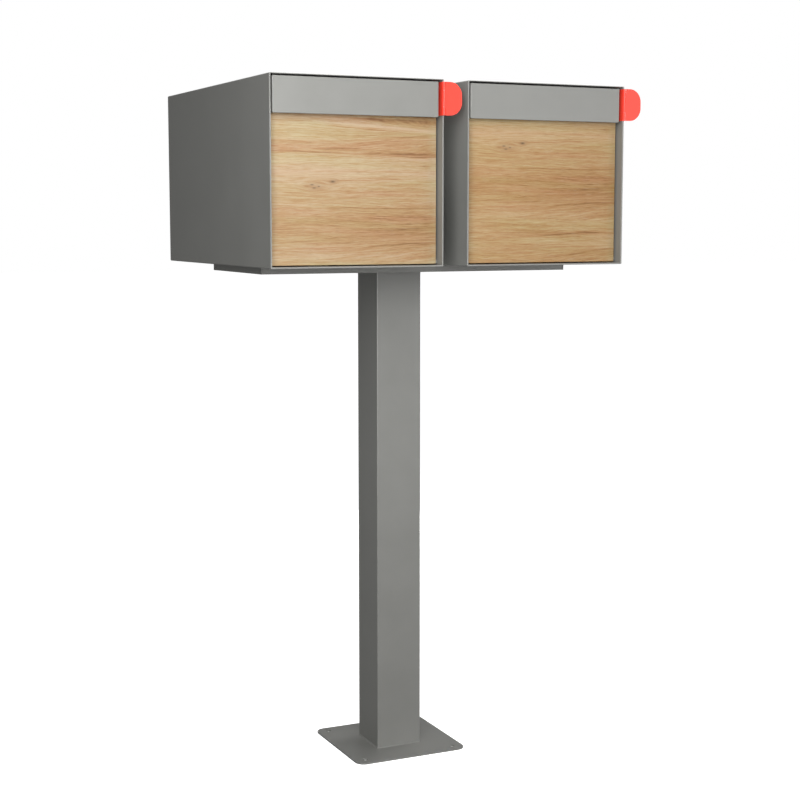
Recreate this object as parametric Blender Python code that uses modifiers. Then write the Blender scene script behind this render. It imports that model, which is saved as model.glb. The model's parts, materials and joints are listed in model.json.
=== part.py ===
"""Twin kerbside mailbox on one post: two steel boxes with wood-faced drop-down doors and red side flags.

Metres, +Z up, front towards -Y. The origin is the middle of the base plate's underside.
"""

import math

import bmesh
import bpy
from mathutils import Matrix, Vector

# Driving dimensions
BOX_WIDTH = 0.364
BOX_HEIGHT = 0.3655
BOX_DEPTH = 0.650
BOX_GAP = 0.053  # clear space between the two boxes
BOX_BOTTOM = 1.0715  # height of the boxes' undersides above the ground
BOX_SET_BACK = 0.007  # middle of the boxes behind the post's axis
SHEET = 0.0015
HEM_THICK = 0.003  # the sheet is folded double round the mouth
HEM_DEPTH = 0.030
GAP = 0.0003  # between faces that touch on the real object
RUNNING = 0.00005  # radial clearance of a pin in its knuckle

POST_SIDE = 0.1036
POST_WALL = 0.003
POST_CORNER = 0.0022
PLATE_X = 0.2595
PLATE_Y = 0.254
PLATE_THICK = 0.004
PLATE_CORNER = 0.021
ANCHOR_OFFSET = 0.1048  # anchor holes from the post's axis, along X and along Y
ANCHOR_RADIUS = 0.006

TRAY_HALF_X = 0.349
TRAY_FRONT = -0.152
TRAY_BACK = 0.150
TRAY_DROP = 0.0164
TRAY_SHEET = 0.002
TOP_PLATE_X = 0.170
TOP_PLATE_Y = 0.180
TOP_PLATE_THICK = 0.004
TOP_PLATE_CORNER = 0.008
BACK_FLANGE = 0.018  # depth of the back panel's flanges

BOLT_RADIUS = 0.003
BOLT_HEAD_RADIUS = 0.006
BOLT_HEAD_HEIGHT = 0.0033
NUT_RADIUS = 0.0058
NUT_HEIGHT = 0.004
THREAD_PAST_NUT = 0.001
HEAD_CROWN = 0.0004  # rise of a head's middle above its rim
INNER_BOLT = (0.0665, 0.070)  # these two bolts of each box also go through the post's top plate
OUTER_BOLT = (0.300, 0.110)

DOOR_SIDE_GAP = 0.006  # wood's ends from the box's outer faces
DOOR_BOTTOM_GAP = 0.0058  # wood's lower edge above the box's underside
DOOR_TOP_GAP = 0.0053  # handle's top below the box's top
DOOR_RECESS = 0.022  # wood's face behind the mouth
WOOD_THICK = 0.008
WOOD_TOP_GAP = 0.0065
PAN_SIDE_GAP = 0.0045
PAN_DEPTH = 0.020
PAN_LIP = 0.0135  # turned-down strike along the pan's top
HINGE_BEHIND_FACE = 0.004
HINGE_HEIGHT = 0.010
HINGE_PIN_RADIUS = 0.002
HINGE_PIN_LENGTH = 0.0075
EAR_THICK = 0.0012
EAR_RADIUS = 0.0050
EAR_OVERLAP = 0.004  # how far each ear runs back into the pan's side

HANDLE_LEFT_GAP = 0.0062
HANDLE_RIGHT_GAP = 0.0118  # leaves room for the flag's fixed leaf
HANDLE_HEIGHT = 0.0686
HANDLE_FLANGE = 0.030
HANDLE_ROUND = 0.0012
SCREW_RADIUS = 0.0020
SCREW_HEAD_RADIUS = 0.0038
SCREW_HEAD_HEIGHT = 0.0025
SCREW_PAST_FLANGE = 0.0015
SCREW_OFFSET_X = 0.100
SCREW_BELOW_TOP = 0.0285

MAGNET_SIZE = (0.024, 0.014, 0.012)
MAGNET_OFFSET_X = 0.140
MAGNET_AIR = 0.0006

FLAG_REACH = 0.0366  # blade's tip beyond the box's side
FLAG_HEIGHT = 0.0648
FLAG_TOP_GAP = 0.0052
FLAG_SHEET = 0.0012
FLAG_ROUND = 0.026
BARREL_RADIUS = 0.0025
BARREL_IN = 0.0012  # barrel's axis inside the box's side face
BARREL_AHEAD = 0.0028  # barrel's axis in front of the mouth
BARREL_END = 0.016  # length of each fixed knuckle
FLAG_PIN_RADIUS = 0.0012
LEAF_DEPTH = 0.020
LEAF_TAB = 0.006  # how far each knuckle's tab reaches into its leaf
PIN_SHORT = 0.0004  # pin's length less than the barrel's
CLEAR_OF_BARREL = 0.0015  # where each leaf's sheet starts beyond the barrel's axis
SHEET_OFFSET = 0.0027  # middle of each leaf from the barrel's axis

ROUND_STEPS = 24
SMALL_STEPS = 16
PAST = 0.010  # how far a cutter runs past the surface it opens

# Places worked out from the driving dimensions
MOUTH = BOX_SET_BACK - BOX_DEPTH / 2
BACK = BOX_SET_BACK + BOX_DEPTH / 2
BOX_TOP = BOX_BOTTOM + BOX_HEIGHT
BOX_CENTRE_X = (BOX_GAP + BOX_WIDTH) / 2
WOOD_FACE = MOUTH + DOOR_RECESS
WOOD_BACK = WOOD_FACE + WOOD_THICK
HINGE_Y = WOOD_FACE + HINGE_BEHIND_FACE
HINGE_Z = BOX_BOTTOM + HINGE_HEIGHT
TRAY_TOP = BOX_BOTTOM - GAP
TOP_PLATE_TOP = TRAY_TOP - TRAY_SHEET - GAP
FLAG_TOP = BOX_TOP - FLAG_TOP_GAP
FLAG_BOTTOM = FLAG_TOP - FLAG_HEIGHT
BARREL_Y = MOUTH - BARREL_AHEAD

SIDES = {"left": -BOX_CENTRE_X, "right": BOX_CENTRE_X}


def clear_scene():
    for obj in list(bpy.data.objects):
        bpy.data.objects.remove(obj, do_unlink=True)


def new_collection(name):
    collection = bpy.data.collections.new(name)
    bpy.context.scene.collection.children.link(collection)
    return collection


def material(name, colour, roughness, metallic):
    mat = bpy.data.materials.new(name)
    mat.use_nodes = True
    shader = mat.node_tree.nodes["Principled BSDF"]
    shader.inputs["Base Color"].default_value = (*colour, 1.0)
    shader.inputs["Roughness"].default_value = roughness
    shader.inputs["Metallic"].default_value = metallic
    mat.diffuse_color = (*colour, 1.0)
    return mat


clear_scene()
PARTS = new_collection("twin_mailbox")
CUTTERS = new_collection("cutters")
GREY_PAINT = material("grey_paint", (0.21, 0.21, 0.195), 0.45, 0.0)
RED_PAINT = material("red_paint", (0.90, 0.10, 0.06), 0.40, 0.0)
OAK = material("oak", (0.56, 0.38, 0.21), 0.55, 0.0)
STEEL = material("steel", (0.55, 0.55, 0.53), 0.35, 1.0)
MAGNET = material("magnet_housing", (0.03, 0.03, 0.03), 0.6, 0.0)


def new_object(name, mesh, place):
    """An object whose mesh is centred on its own origin, standing at a world place."""
    obj = bpy.data.objects.new(name, mesh)
    obj.location = place
    CUTTERS.objects.link(obj)
    obj.hide_render = True
    obj.display_type = "WIRE"
    return obj


def block(name, low, high, rounds=()):
    """A box from its lowest to its highest corner. Each of rounds is (axis, radius, steps, chooser),
    and rounds off the edges along that axis whose middle the chooser accepts."""
    low, high = Vector(low), Vector(high)
    size = high - low
    bm = bmesh.new()
    bmesh.ops.create_cube(bm, size=1.0, matrix=Matrix.Diagonal((*size, 1.0)))
    for axis, radius, steps, chooser in rounds:
        edges = []
        for edge in bm.edges:
            run = edge.verts[1].co - edge.verts[0].co
            middle = (edge.verts[0].co + edge.verts[1].co) / 2
            if abs(run[axis]) > 0.9 * size[axis] and chooser(middle):
                edges.append(edge)
        bmesh.ops.bevel(bm, geom=edges, offset=radius, segments=steps, profile=0.5, affect="EDGES")
    mesh = bpy.data.meshes.new(name)
    bm.to_mesh(mesh)
    bm.free()
    return new_object(name, mesh, (low + high) / 2)


def rod(name, middle, radius, length, axis="Z", steps=ROUND_STEPS):
    """A solid cylinder about a world point, along X, Y or Z."""
    turn = {"X": Matrix.Rotation(math.pi / 2, 4, "Y"), "Y": Matrix.Rotation(math.pi / 2, 4, "X")}
    bm = bmesh.new()
    bmesh.ops.create_cone(
        bm, cap_ends=True, segments=steps, radius1=radius, radius2=radius, depth=length,
        matrix=turn.get(axis, Matrix.Identity(4)),
    )
    mesh = bpy.data.meshes.new(name)
    bm.to_mesh(mesh)
    bm.free()
    return new_object(name, mesh, middle)


def turned(name, top, profile, steps=SMALL_STEPS):
    """A turned piece about the vertical through top. The profile runs down it as (radius, depth)."""
    bm = bmesh.new()
    verts = [bm.verts.new((radius, 0.0, -depth)) for radius, depth in profile]
    for first, second in zip(verts, verts[1:]):
        bm.edges.new((first, second))
    mesh = bpy.data.meshes.new(name)
    bm.to_mesh(mesh)
    bm.free()
    obj = new_object(name, mesh, top)
    screw = obj.modifiers.new("Turn", "SCREW")
    screw.steps = steps
    screw.render_steps = steps
    screw.use_merge_vertices = True
    screw.merge_threshold = 0.00001
    return obj


def combine(obj, operation, tools):
    for tool in tools:
        step = obj.modifiers.new(f"{operation} {tool.name}", "BOOLEAN")
        step.operation = operation
        step.solver = "EXACT"
        step.object = tool


def cut(obj, *tools):
    combine(obj, "DIFFERENCE", tools)


def join(obj, *tools):
    combine(obj, "UNION", tools)


def smooth(obj):
    obj.data.shade_smooth()
    obj.data.set_sharp_from_angle(angle=math.radians(35))


def finish(obj, mat, pivot=None):
    """Makes the object a part: it gets its material and, on a moving body, its pivot as parent."""
    CUTTERS.objects.unlink(obj)
    PARTS.objects.link(obj)
    obj.hide_render = False
    obj.display_type = "TEXTURED"
    obj.data.materials.append(mat)
    smooth(obj)
    if pivot:
        place = Vector(obj.location)
        obj.parent = pivot
        obj.location = place - pivot.location
    return obj


def pivot_at(name, place):
    empty = bpy.data.objects.new(name, None)
    empty.location = place
    empty.empty_display_size = 0.02
    PARTS.objects.link(empty)
    return empty


def everywhere(middle):
    return True


def bore_radius(pin_radius, steps, clearance=RUNNING):
    """The corner radius of a faceted bore whose flats clear the pin."""
    return (pin_radius + clearance) / math.cos(math.pi / steps)


def bolt_places(centre_x):
    """The four bolts of one box as (x, y, goes through the post's top plate)."""
    sign = math.copysign(1.0, centre_x)
    places = []
    for (x, y), through_plate in ((INNER_BOLT, True), (OUTER_BOLT, False)):
        places += [(sign * x, -y, through_plate), (sign * x, y, through_plate)]
    return places


def bolt_holes(name, low, high, places):
    return [
        rod(f"{name}_hole_{i}", (x, y, (low + high) / 2), BOLT_RADIUS + GAP, high - low, steps=SMALL_STEPS)
        for i, (x, y, _) in enumerate(places)
    ]


def make_base_plate():
    plate = block(
        "base_plate",
        (-PLATE_X / 2, -PLATE_Y / 2, 0.0),
        (PLATE_X / 2, PLATE_Y / 2, PLATE_THICK),
        [(2, PLATE_CORNER, 8, everywhere)],
    )
    holes = [
        rod(
            f"anchor_hole_{x}_{y}",
            (x * ANCHOR_OFFSET, y * ANCHOR_OFFSET, PLATE_THICK / 2),
            ANCHOR_RADIUS, 4 * PLATE_THICK,
        )
        for x in (-1, 1) for y in (-1, 1)
    ]
    cut(plate, *holes)
    finish(plate, GREY_PAINT)


def make_post():
    bottom = PLATE_THICK + GAP
    top = TOP_PLATE_TOP - TOP_PLATE_THICK - GAP
    half = POST_SIDE / 2
    inner = half - POST_WALL
    post = block(
        "post", (-half, -half, bottom), (half, half, top), [(2, POST_CORNER, 4, everywhere)]
    )
    bore = block("post_bore", (-inner, -inner, bottom - PAST), (inner, inner, top + PAST))
    cut(post, bore)
    finish(post, GREY_PAINT)


def make_post_top_plate(places):
    low = TOP_PLATE_TOP - TOP_PLATE_THICK
    plate = block(
        "post_top_plate",
        (-TOP_PLATE_X / 2, -TOP_PLATE_Y / 2, low),
        (TOP_PLATE_X / 2, TOP_PLATE_Y / 2, TOP_PLATE_TOP),
        [(2, TOP_PLATE_CORNER, 4, everywhere)],
    )
    through = [place for place in places if place[2]]
    cut(plate, *bolt_holes("top_plate", low - PAST, TOP_PLATE_TOP + PAST, through))
    finish(plate, GREY_PAINT)


def make_mounting_tray(places):
    bottom = BOX_BOTTOM - TRAY_DROP
    tray = block(
        "mounting_tray",
        (-TRAY_HALF_X, TRAY_FRONT, bottom),
        (TRAY_HALF_X, TRAY_BACK, TRAY_TOP),
    )
    hollow = block(
        "mounting_tray_hollow",
        (-TRAY_HALF_X + TRAY_SHEET, TRAY_FRONT + TRAY_SHEET, bottom - PAST),
        (TRAY_HALF_X - TRAY_SHEET, TRAY_BACK - TRAY_SHEET, TRAY_TOP - TRAY_SHEET),
    )
    cut(tray, hollow, *bolt_holes("tray", TRAY_TOP - PAST, TRAY_TOP + PAST, places))
    finish(tray, GREY_PAINT)


def make_shell(side, centre_x, places):
    """The folded body: floor, sides and roof in one sheet, its mouth hemmed on the sides and floor."""
    left, right = centre_x - BOX_WIDTH / 2, centre_x + BOX_WIDTH / 2
    shell = block(f"{side}_box_shell", (left, MOUTH, BOX_BOTTOM), (right, BACK, BOX_TOP))
    inside = block(
        f"{side}_inside",
        (left + SHEET, MOUTH + HEM_DEPTH, BOX_BOTTOM + SHEET),
        (right - SHEET, BACK + PAST, BOX_TOP - SHEET),
    )
    mouth = block(
        f"{side}_mouth",
        (left + HEM_THICK, MOUTH - PAST, BOX_BOTTOM + HEM_THICK),
        (right - HEM_THICK, BACK + PAST, BOX_TOP - SHEET),
    )
    floor_holes = bolt_holes(f"{side}_floor", BOX_BOTTOM - PAST, BOX_BOTTOM + PAST, places)
    cut(shell, inside, mouth, *floor_holes)
    finish(shell, GREY_PAINT)


def make_back_panel(side, centre_x):
    """A pan that closes the box's back, its flanges turned forward inside the shell."""
    half = BOX_WIDTH / 2 - SHEET - GAP
    low, high = BOX_BOTTOM + SHEET + GAP, BOX_TOP - SHEET - GAP
    front = BACK - BACK_FLANGE
    panel = block(f"{side}_back_panel", (centre_x - half, front, low), (centre_x + half, BACK, high))
    hollow = block(
        f"{side}_back_hollow",
        (centre_x - half + SHEET, front - PAST, low + SHEET),
        (centre_x + half - SHEET, BACK - SHEET, high - SHEET),
    )
    cut(panel, hollow)
    finish(panel, GREY_PAINT)


def make_bolts(side, places):
    """Button-head bolts down through the box's floor, with a hex nut on each."""
    for number, (x, y, through_plate) in enumerate(places, 1):
        head_top = BOX_BOTTOM + SHEET + GAP + BOLT_HEAD_HEIGHT
        seat = (TOP_PLATE_TOP - TOP_PLATE_THICK if through_plate else TRAY_TOP - TRAY_SHEET) - GAP
        end = seat - NUT_HEIGHT - THREAD_PAST_NUT
        profile = [
            (0.0, 0.0),
            (BOLT_HEAD_RADIUS * 0.6, HEAD_CROWN),
            (BOLT_HEAD_RADIUS * 0.9, BOLT_HEAD_HEIGHT * 0.5),
            (BOLT_HEAD_RADIUS, BOLT_HEAD_HEIGHT),
            (BOLT_RADIUS, BOLT_HEAD_HEIGHT),
            (BOLT_RADIUS, head_top - end),
            (0.0, head_top - end),
        ]
        finish(turned(f"{side}_box_bolt_{number}", (x, y, head_top), profile), STEEL)
        middle = (x, y, seat - NUT_HEIGHT / 2)
        nut = rod(f"{side}_box_nut_{number}", middle, NUT_RADIUS, NUT_HEIGHT, steps=6)
        thread = rod(f"{side}_thread_{number}", middle, BOLT_RADIUS + GAP, 2 * NUT_HEIGHT, steps=SMALL_STEPS)
        cut(nut, thread)
        finish(nut, STEEL)


def make_hinge_pins(side, centre_x):
    """A stub on each side wall, on which the door turns."""
    for letter, sign in (("a", -1), ("b", 1)):
        outer = BOX_WIDTH / 2 - HEM_THICK - GAP
        middle = (centre_x + sign * (outer - HINGE_PIN_LENGTH / 2), HINGE_Y, HINGE_Z)
        pin = rod(f"{side}_hinge_pin_{letter}", middle, HINGE_PIN_RADIUS, HINGE_PIN_LENGTH, axis="X")
        finish(pin, STEEL)


def make_catch_magnets(side, centre_x):
    """Two magnets under the roof, just behind the door pan's turned-down lip."""
    width, depth, height = MAGNET_SIZE
    front = WOOD_BACK + GAP + PAN_DEPTH + MAGNET_AIR
    top = BOX_TOP - SHEET - GAP
    for letter, sign in (("a", -1), ("b", 1)):
        x = centre_x + sign * MAGNET_OFFSET_X
        magnet = block(
            f"{side}_catch_magnet_{letter}",
            (x - width / 2, front, top - height),
            (x + width / 2, front + depth, top),
        )
        finish(magnet, MAGNET)


def screw_places(centre_x):
    return [(letter, centre_x + sign * SCREW_OFFSET_X) for letter, sign in (("a", -1), ("b", 1))]


def screw_holes(name, centre_x, low, high):
    """Clearance holes along Y for the two handle screws."""
    height = BOX_TOP - SCREW_BELOW_TOP
    return [
        rod(f"{name}_screw_hole_{letter}", (x, (low + high) / 2, height), SCREW_RADIUS + GAP,
            high - low, axis="Y", steps=SMALL_STEPS)
        for letter, x in screw_places(centre_x)
    ]


def make_door(side, centre_x):
    """The drop-down door: oak board on a steel pan, with the folded handle strip above."""
    pivot = pivot_at(f"{side}_door_pivot", (centre_x, HINGE_Y, HINGE_Z))
    make_door_pan(side, centre_x, pivot)
    make_wood_panel(side, centre_x, pivot)
    make_handle(side, centre_x, pivot)
    make_handle_screws(side, centre_x, pivot)


def make_door_pan(side, centre_x, pivot):
    half = BOX_WIDTH / 2 - PAN_SIDE_GAP
    front, back = WOOD_BACK + GAP, WOOD_BACK + GAP + PAN_DEPTH
    low, high = BOX_BOTTOM + DOOR_BOTTOM_GAP, BOX_TOP - DOOR_TOP_GAP
    pan = block(f"{side}_door_pan", (centre_x - half, front, low), (centre_x + half, back, high))
    hollow = block(
        f"{side}_pan_hollow",
        (centre_x - half + SHEET, front + SHEET, low + SHEET),
        (centre_x + half - SHEET, back - SHEET, high - SHEET),
    )
    rear = block(
        f"{side}_pan_rear",
        (centre_x - half + SHEET, back - SHEET - PAST / 2, low + SHEET),
        (centre_x + half - SHEET, back + PAST, high - PAN_LIP),
    )
    cut(pan, hollow, rear, *screw_holes(f"{side}_pan", centre_x, front - PAST / 2, front + PAST / 2))
    for letter, sign in (("a", -1), ("b", 1)):
        outer = centre_x + sign * half
        inner = outer - sign * EAR_THICK
        arm = block(
            f"{side}_ear_arm_{letter}",
            (min(outer, inner), HINGE_Y, HINGE_Z - EAR_RADIUS * 0.8),
            (max(outer, inner), front + EAR_OVERLAP, HINGE_Z + EAR_RADIUS),
        )
        middle = ((outer + inner) / 2, HINGE_Y, HINGE_Z)
        boss = rod(f"{side}_ear_boss_{letter}", middle, EAR_RADIUS, EAR_THICK, axis="X")
        bore = rod(
            f"{side}_ear_bore_{letter}", middle, bore_radius(HINGE_PIN_RADIUS, ROUND_STEPS),
            PAST, axis="X",
        )
        join(pan, arm, boss)
        cut(pan, bore)
    finish(pan, GREY_PAINT, pivot)


def make_wood_panel(side, centre_x, pivot):
    half = BOX_WIDTH / 2 - DOOR_SIDE_GAP
    wood = block(
        f"{side}_wood_panel",
        (centre_x - half, WOOD_FACE, BOX_BOTTOM + DOOR_BOTTOM_GAP),
        (centre_x + half, WOOD_BACK, BOX_TOP - WOOD_TOP_GAP),
    )
    bores = [
        rod(
            f"{side}_wood_bore_{letter}", (centre_x + sign * half, HINGE_Y, HINGE_Z),
            HINGE_PIN_RADIUS + GAP, PAST, axis="X",
        )
        for letter, sign in (("a", -1), ("b", 1))
    ]
    cut(wood, *bores, *screw_holes(f"{side}_wood", centre_x, WOOD_FACE - PAST, WOOD_BACK + PAST))
    finish(wood, OAK, pivot)


def make_handle(side, centre_x, pivot):
    """A folded strip flush with the mouth. Fingers reach up behind it from below."""
    left = centre_x - BOX_WIDTH / 2 + HANDLE_LEFT_GAP
    right = centre_x + BOX_WIDTH / 2 - HANDLE_RIGHT_GAP
    rear = WOOD_FACE - GAP
    top = BOX_TOP - DOOR_TOP_GAP
    bottom = top - HANDLE_HEIGHT
    handle = block(
        f"{side}_door_handle", (left, MOUTH, bottom), (right, rear, top),
        [(2, HANDLE_ROUND, 3, lambda middle: middle.y < 0)],
    )
    hollow = block(
        f"{side}_handle_hollow",
        (left + SHEET, MOUTH + SHEET, bottom - PAST),
        (right - SHEET, rear - SHEET, top - SHEET),
    )
    back = block(
        f"{side}_handle_back",
        (left + SHEET, rear - PAST / 2, bottom - PAST),
        (right - SHEET, rear + PAST, top - HANDLE_FLANGE),
    )
    cut(handle, hollow, back, *screw_holes(f"{side}_handle", centre_x, rear - PAST / 2, rear + PAST / 2))
    finish(handle, GREY_PAINT, pivot)


def make_handle_screws(side, centre_x, pivot):
    """Screws from inside the pan, through the board into the handle's rear flange."""
    seat = WOOD_BACK + GAP + SHEET + GAP
    end = WOOD_FACE - GAP - SHEET - SCREW_PAST_FLANGE
    length = seat - end
    for letter, x in screw_places(centre_x):
        profile = [
            (0.0, 0.0),
            (SCREW_HEAD_RADIUS * 0.8, HEAD_CROWN),
            (SCREW_HEAD_RADIUS, SCREW_HEAD_HEIGHT),
            (SCREW_RADIUS, SCREW_HEAD_HEIGHT),
            (SCREW_RADIUS, SCREW_HEAD_HEIGHT + length),
            (0.0, SCREW_HEAD_HEIGHT + length),
        ]
        place = (x, seat + SCREW_HEAD_HEIGHT, BOX_TOP - SCREW_BELOW_TOP)
        screw = turned(f"{side}_handle_screw_{letter}", place, profile, steps=12)
        screw.rotation_euler = (-math.pi / 2, 0.0, 0.0)
        finish(screw, STEEL, pivot)


def make_flag(side, centre_x):
    """A vertical hinge round the mouth's right edge: fixed leaf and pin, and the red blade that turns."""
    outer = centre_x + BOX_WIDTH / 2
    axis_x = outer - BARREL_IN
    middle_z = (FLAG_TOP + FLAG_BOTTOM) / 2
    knuckle_low = FLAG_BOTTOM + BARREL_END + GAP
    knuckle_high = FLAG_TOP - BARREL_END - GAP
    bore = bore_radius(FLAG_PIN_RADIUS, SMALL_STEPS)
    near = SHEET_OFFSET - FLAG_SHEET / 2
    far = SHEET_OFFSET + FLAG_SHEET / 2

    leaf = block(
        f"{side}_flag_leaf",
        (axis_x - far, BARREL_Y + CLEAR_OF_BARREL, FLAG_BOTTOM),
        (axis_x - near, MOUTH + LEAF_DEPTH, FLAG_TOP),
    )
    ends = ((FLAG_BOTTOM, FLAG_BOTTOM + BARREL_END), (FLAG_TOP - BARREL_END, FLAG_TOP))
    for number, (low, high) in enumerate(ends):
        tab = block(
            f"{side}_leaf_tab_{number}",
            (axis_x - far, BARREL_Y, low), (axis_x - near, BARREL_Y + LEAF_TAB, high),
        )
        knuckle = rod(
            f"{side}_leaf_knuckle_{number}", (axis_x, BARREL_Y, (low + high) / 2),
            BARREL_RADIUS, high - low,
        )
        join(leaf, tab, knuckle)
    leaf_bore = rod(
        f"{side}_leaf_bore", (axis_x, BARREL_Y, middle_z), bore, 2 * FLAG_HEIGHT, steps=SMALL_STEPS
    )
    cut(leaf, leaf_bore)
    finish(leaf, RED_PAINT)

    pin = rod(
        f"{side}_flag_pin", (axis_x, BARREL_Y, middle_z), FLAG_PIN_RADIUS,
        FLAG_HEIGHT - PIN_SHORT, steps=SMALL_STEPS,
    )
    finish(pin, STEEL)

    pivot = pivot_at(f"{side}_flag_pivot", (axis_x, BARREL_Y, middle_z))
    blade = block(
        f"{side}_flag_blade",
        (axis_x + CLEAR_OF_BARREL, BARREL_Y - far, FLAG_BOTTOM),
        (outer + FLAG_REACH, BARREL_Y - near, FLAG_TOP),
        [(1, FLAG_ROUND, 10, lambda middle: middle.x > 0)],
    )
    tab = block(
        f"{side}_blade_tab",
        (axis_x, BARREL_Y - far, knuckle_low), (axis_x + LEAF_TAB, BARREL_Y - near, knuckle_high),
    )
    knuckle = rod(
        f"{side}_blade_knuckle", (axis_x, BARREL_Y, (knuckle_low + knuckle_high) / 2),
        BARREL_RADIUS, knuckle_high - knuckle_low,
    )
    blade_bore = rod(
        f"{side}_blade_bore", (axis_x, BARREL_Y, middle_z), bore, FLAG_HEIGHT, steps=SMALL_STEPS
    )
    join(blade, tab, knuckle)
    cut(blade, blade_bore)
    finish(blade, RED_PAINT, pivot)


def main():
    places = {side: bolt_places(centre_x) for side, centre_x in SIDES.items()}
    all_places = places["left"] + places["right"]
    make_base_plate()
    make_post()
    make_post_top_plate(all_places)
    make_mounting_tray(all_places)
    for side, centre_x in SIDES.items():
        make_shell(side, centre_x, places[side])
        make_back_panel(side, centre_x)
        make_bolts(side, places[side])
        make_hinge_pins(side, centre_x)
        make_catch_magnets(side, centre_x)
        make_door(side, centre_x)
        make_flag(side, centre_x)


main()
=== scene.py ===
"""The looks of the twin post-mounted mailbox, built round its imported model.

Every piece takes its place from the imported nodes' boxes. Metres, +Z up, front towards -Y.
"""

import json
import math

import bmesh
import bpy
from mathutils import Matrix, Vector


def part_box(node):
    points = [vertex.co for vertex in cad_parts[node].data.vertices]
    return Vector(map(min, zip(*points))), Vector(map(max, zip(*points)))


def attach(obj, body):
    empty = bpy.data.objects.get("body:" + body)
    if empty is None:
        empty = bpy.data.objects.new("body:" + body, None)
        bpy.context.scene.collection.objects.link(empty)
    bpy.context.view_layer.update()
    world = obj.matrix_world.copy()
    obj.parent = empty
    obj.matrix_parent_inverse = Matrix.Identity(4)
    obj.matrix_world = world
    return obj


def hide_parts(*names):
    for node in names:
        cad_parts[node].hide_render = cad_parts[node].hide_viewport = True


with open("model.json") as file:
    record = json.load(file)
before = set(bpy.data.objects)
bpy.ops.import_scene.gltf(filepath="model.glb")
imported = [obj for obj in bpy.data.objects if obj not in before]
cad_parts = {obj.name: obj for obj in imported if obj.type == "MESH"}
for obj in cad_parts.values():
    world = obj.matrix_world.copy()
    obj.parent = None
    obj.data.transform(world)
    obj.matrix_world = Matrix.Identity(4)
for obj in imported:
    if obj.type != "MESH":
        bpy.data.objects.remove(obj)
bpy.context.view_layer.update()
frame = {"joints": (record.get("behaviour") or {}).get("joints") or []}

SIDES = ("left", "right")
LETTERS = ("a", "b")
SHEET = 0.0015  # box, pan and handle sheet
HEM_THICK = 0.003
HEM_DEPTH = 0.030
POST_WALL = 0.003
TRAY_SHEET = 0.002
FLAG_SHEET = 0.0012
FLAG_ROUND = 0.026
BARREL_OUTER = 0.0025
BARREL_INNER = 0.00127
BARREL_CLEAR = 0.0015  # from the pin's axis to the near edge of each leaf
KNUCKLE_END = 0.016  # length of each fixed knuckle
KNUCKLE_GAP = 0.0003
NECK = 0.003  # how far the neck of a knuckle runs from the pin's axis into the sheet
NECK_STEP = 0.0001
SET_IN = 0.00004  # keeps joined solids' faces out of one plane
BOARD_BELOW = 0.0006  # closes the gaps round the door a little
HANDLE_ABOVE = 0.0004
PAN_LIP = 0.0135  # turned-down strike along the door pan's top
PAN_BEND = 0.0024
PAN_CORNER = 0.0010
EAR_THICK = 0.0012
EAR_RADIUS = 0.005
EAR_STRAIGHT = 0.003  # where each ear's outline leaves the pan's face
PIN_BORE = 0.00215
BOARD_BORE = 0.0023
SCREW_HOLE = 0.0023
STRIP_HOLE = 0.0022
BOLT_HOLE = 0.0033
INNER_BOLTS = (1, 2)  # these also go through the post's top plate
ANCHOR = 0.1048  # anchor holes from the post's middle
ANCHOR_HOLE = 0.006
PLATE_CORNER = 0.021
TOP_PLATE_CORNER = 0.008
POST_CORNER = 0.0022
NICK = 0.0003  # eased edge of a cut sheet
GAP = 0.0003  # between faces that all but touch
SMALL_CHAMFER = 0.0002
PAST = 0.001  # how far a cutter runs past the surface it cuts
SMOOTH_ANGLE = math.radians(32)
SAME_PLACE = 1e-6  # corners nearer than this are one
JOINTS = {joint["name"]: joint for joint in frame["joints"]}
PIECES = []


# Meshes

def new_piece(name, bm, material, body=None, replaces=()):
    """Turns a bmesh into a shown piece that rides on a body and stands for CAD nodes."""
    bmesh.ops.recalc_face_normals(bm, faces=bm.faces)
    mesh = bpy.data.meshes.new(name)
    bm.to_mesh(mesh)
    bm.free()
    obj = bpy.data.objects.new(name, mesh)
    bpy.context.scene.collection.objects.link(obj)
    if material:
        mesh.materials.append(material)
        PIECES.append(obj)
    if body:
        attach(obj, body)
    if replaces:
        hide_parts(*replaces)
    return obj


def applied(obj):
    """Makes the result of the object's modifiers its own mesh."""
    graph = bpy.context.evaluated_depsgraph_get()
    mesh = bpy.data.meshes.new_from_object(obj.evaluated_get(graph))
    obj.modifiers.clear()
    obj.data = mesh
    return obj


def carve(obj, *tools, operation="DIFFERENCE"):
    """Cuts the tools out of obj, or joins them to it, and removes them."""
    for tool in tools:
        step = obj.modifiers.new(tool.name, "BOOLEAN")
        step.operation = operation
        step.solver = "EXACT"
        step.object = tool
    applied(obj)
    for tool in tools:
        bpy.data.objects.remove(tool, do_unlink=True)
    return obj


def settle_normals(pieces):
    """Weighs the normals by face area, so that a flat beside a small bend still shades flat."""
    for piece in pieces:
        bm = bmesh.new()
        bm.from_mesh(piece.data)
        bmesh.ops.remove_doubles(bm, verts=bm.verts, dist=SAME_PLACE)
        bm.to_mesh(piece.data)
        bm.free()
        piece.data.shade_smooth()
        piece.data.set_sharp_from_angle(angle=SMOOTH_ANGLE)
        weigh = piece.modifiers.new("Normals", "WEIGHTED_NORMAL")
        weigh.keep_sharp = True
        applied(piece)


def rounded_rectangle(low, high, radii, steps=5):
    """Corner points of a rectangle in a plane, anticlockwise from the low corner, each corner rounded."""
    if not hasattr(radii, "__len__"):
        radii = (radii,) * 4
    corners = (
        (low[0], low[1], 1, 1, 180),
        (high[0], low[1], -1, 1, 270),
        (high[0], high[1], -1, -1, 0),
        (low[0], high[1], 1, -1, 90),
    )
    points = []
    for (x, y, in_x, in_y, start), radius in zip(corners, radii):
        for step in range(steps + 1):
            angle = math.radians(start + 90 * step / steps)
            points.append((
                x + radius * (in_x + math.cos(angle)),
                y + radius * (in_y + math.sin(angle)),
            ))
    return points


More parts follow.
